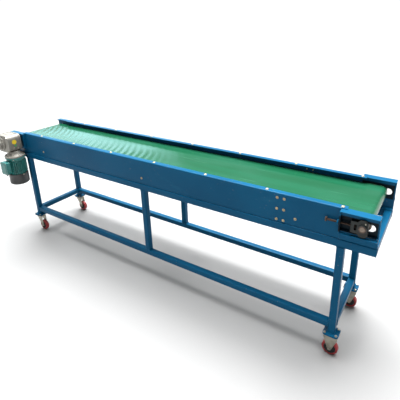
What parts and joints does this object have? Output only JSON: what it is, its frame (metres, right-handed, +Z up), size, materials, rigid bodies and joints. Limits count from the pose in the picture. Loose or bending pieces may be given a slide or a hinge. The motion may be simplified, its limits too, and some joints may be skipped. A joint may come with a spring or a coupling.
{
  "type": "belt conveyor section",
  "caption": "Horizontal belt conveyor on a wheeled tubular stand, with side panels, an end roller with screw take-up bearings and a worm gearmotor that turns the head drum.",
  "frame": {"origin": "on the floor, under the middle of the whole machine's bounding box", "axes": "+X from the driven head end to the tail end along the belt, +Y from the gearmotor side to the far side, +Z up"},
  "size_m": [3.012, 0.7132, 0.9297],
  "materials": {
    "blue_paint": "glossy blue enamel over steel",
    "belt_green": "smooth glossy green belt cover",
    "bright_steel": "turned or drawn bright steel",
    "zinc_plate": "zinc plated, slightly dulled",
    "dark_cast_iron": "cast iron, dark enamel",
    "cast_aluminium": "sand textured casting",
    "motor_green": "teal green enamel",
    "black_paint": "satin black enamel",
    "bronze": "machined bronze",
    "red_tread": "satin red tread",
    "black_plastic": "moulded"
  },
  "bodies": {
    "stand": {"near_top_rail": "blue_paint", "near_lower_rail": "blue_paint", "near_middle_leg": "blue_paint", "near_side_panel": "blue_paint", "near_head_bracket": "blue_paint", "near_tail_bracket": "blue_paint", "near_head_leg": "blue_paint", "near_tail_leg": "blue_paint", "near_head_swivel_plate": "zinc_plate", "near_tail_fork": "zinc_plate", "near_head_bearing": "dark_cast_iron", "far_top_rail": "blue_paint", "far_lower_rail": "blue_paint", "far_middle_leg": "blue_paint", "far_side_panel": "blue_paint", "far_head_bracket": "blue_paint", "far_tail_bracket": "blue_paint", "far_head_leg": "blue_paint", "far_tail_leg": "blue_paint", "far_head_swivel_plate": "zinc_plate", "far_tail_fork": "zinc_plate", "far_head_bearing": "dark_cast_iron", "head_cross_tube": "blue_paint", "head_lower_crossbar": "blue_paint", "tail_cross_tube": "blue_paint", "tail_lower_crossbar": "blue_paint", "head_return_axle": "bright_steel", "middle_return_axle": "bright_steel", "tail_return_axle": "bright_steel", "belt": "belt_green", "slider_bed": "bright_steel", "gearbox_housing": "cast_aluminium", "gearbox_cover": "cast_aluminium", "motor_frame": "motor_green", "fan_cover": "black_paint", "terminal_box": "motor_green"},
    "rotor": {"worm_and_rotor": "bright_steel", "motor_fan": "black_plastic"},
    "head_drive": {"head_drum": "bright_steel", "drive_shaft": "bright_steel", "worm_wheel": "bronze"},
    "takeup": {"near_takeup_bearing": "dark_cast_iron", "far_takeup_bearing": "dark_cast_iron"},
    "tail_drum": {"tail_roller": "bright_steel", "tail_shaft": "bright_steel"},
    "near_bolt": {"near_takeup_bolt": "bright_steel"},
    "far_bolt": {"far_takeup_bolt": "bright_steel"},
    "head_return": {"head_return_roller": "bright_steel"},
    "middle_return": {"middle_return_roller": "bright_steel"},
    "tail_return": {"tail_return_roller": "bright_steel"},
    "near_head_swivel": {"near_head_fork": "zinc_plate"},
    "near_head_wheel": {"near_head_wheel_hub": "black_plastic", "near_head_wheel_tread": "red_tread"},
    "near_tail_wheel": {"near_tail_wheel_hub": "black_plastic", "near_tail_wheel_tread": "red_tread"},
    "far_head_swivel": {"far_head_fork": "zinc_plate"},
    "far_head_wheel": {"far_head_wheel_hub": "black_plastic", "far_head_wheel_tread": "red_tread"},
    "far_tail_wheel": {"far_tail_wheel_hub": "black_plastic", "far_tail_wheel_tread": "red_tread"}
  },
  "joints": [
    {"name": "motor_spin", "type": "hinge", "parent": "stand", "child": "rotor", "pos_m": [-1.371, -0.23935, 0.8544], "axis": [0, 0, 1], "continuous": true},
    {"name": "head_spin", "type": "hinge", "parent": "stand", "child": "head_drive", "pos_m": [-1.434, 0.08365, 0.8544], "axis": [0, 1, 0], "continuous": true},
    {"name": "takeup_slide", "type": "slide", "parent": "stand", "child": "takeup", "axis": [1, 0, 0], "range_m": [-0.025, 0.035], "deforming": ["belt"]},
    {"name": "tail_spin", "type": "hinge", "parent": "takeup", "child": "tail_drum", "pos_m": [1.434, 0.08365, 0.8544], "axis": [0, 1, 0], "continuous": true},
    {"name": "near_bolt_turn", "type": "hinge", "parent": "takeup", "child": "near_bolt", "pos_m": [1.399, -0.16735, 0.8544], "axis": [1, 0, 0], "range_deg": [-5144, 7201]},
    {"name": "far_bolt_turn", "type": "hinge", "parent": "takeup", "child": "far_bolt", "pos_m": [1.399, 0.33465, 0.8544], "axis": [1, 0, 0], "range_deg": [-5144, 7201]},
    {"name": "head_return_spin", "type": "hinge", "parent": "stand", "child": "head_return", "pos_m": [-1.083, 0.08365, 0.7968], "axis": [0, 1, 0], "continuous": true},
    {"name": "middle_return_spin", "type": "hinge", "parent": "stand", "child": "middle_return", "pos_m": [0.006, 0.08365, 0.7968], "axis": [0, 1, 0], "continuous": true},
    {"name": "tail_return_spin", "type": "hinge", "parent": "stand", "child": "tail_return", "pos_m": [1.095, 0.08365, 0.7968], "axis": [0, 1, 0], "continuous": true},
    {"name": "near_head_swivel_turn", "type": "hinge", "parent": "stand", "child": "near_head_swivel", "pos_m": [-1.3265, -0.13635, 0.146], "axis": [0, 0, 1], "continuous": true},
    {"name": "near_head_wheel_spin", "type": "hinge", "parent": "near_head_swivel", "child": "near_head_wheel", "pos_m": [-1.2945, -0.13635, 0.04472], "axis": [0, 1, 0], "continuous": true},
    {"name": "near_tail_wheel_spin", "type": "hinge", "parent": "stand", "child": "near_tail_wheel", "pos_m": [1.3385, -0.13635, 0.04472], "axis": [0, 1, 0], "continuous": true},
    {"name": "far_head_swivel_turn", "type": "hinge", "parent": "stand", "child": "far_head_swivel", "pos_m": [-1.3265, 0.30365, 0.146], "axis": [0, 0, 1], "continuous": true},
    {"name": "far_head_wheel_spin", "type": "hinge", "parent": "far_head_swivel", "child": "far_head_wheel", "pos_m": [-1.2945, 0.30365, 0.04472], "axis": [0, 1, 0], "continuous": true},
    {"name": "far_tail_wheel_spin", "type": "hinge", "parent": "stand", "child": "far_tail_wheel", "pos_m": [1.3385, 0.30365, 0.04472], "axis": [0, 1, 0], "continuous": true}
  ],
  "couplings": [
    {"joint": "head_spin", "follows": "motor_spin", "ratio": 0.033333},
    {"joint": "tail_spin", "follows": "motor_spin", "ratio": 0.033333},
    {"joint": "head_return_spin", "follows": "motor_spin", "ratio": -0.041333},
    {"joint": "middle_return_spin", "follows": "motor_spin", "ratio": -0.041333},
    {"joint": "tail_return_spin", "follows": "motor_spin", "ratio": -0.041333},
    {"joint": "near_bolt_turn", "follows": "takeup_slide", "rad_per_m": 3590.4},
    {"joint": "far_bolt_turn", "follows": "takeup_slide", "rad_per_m": 3590.4}
  ]
}
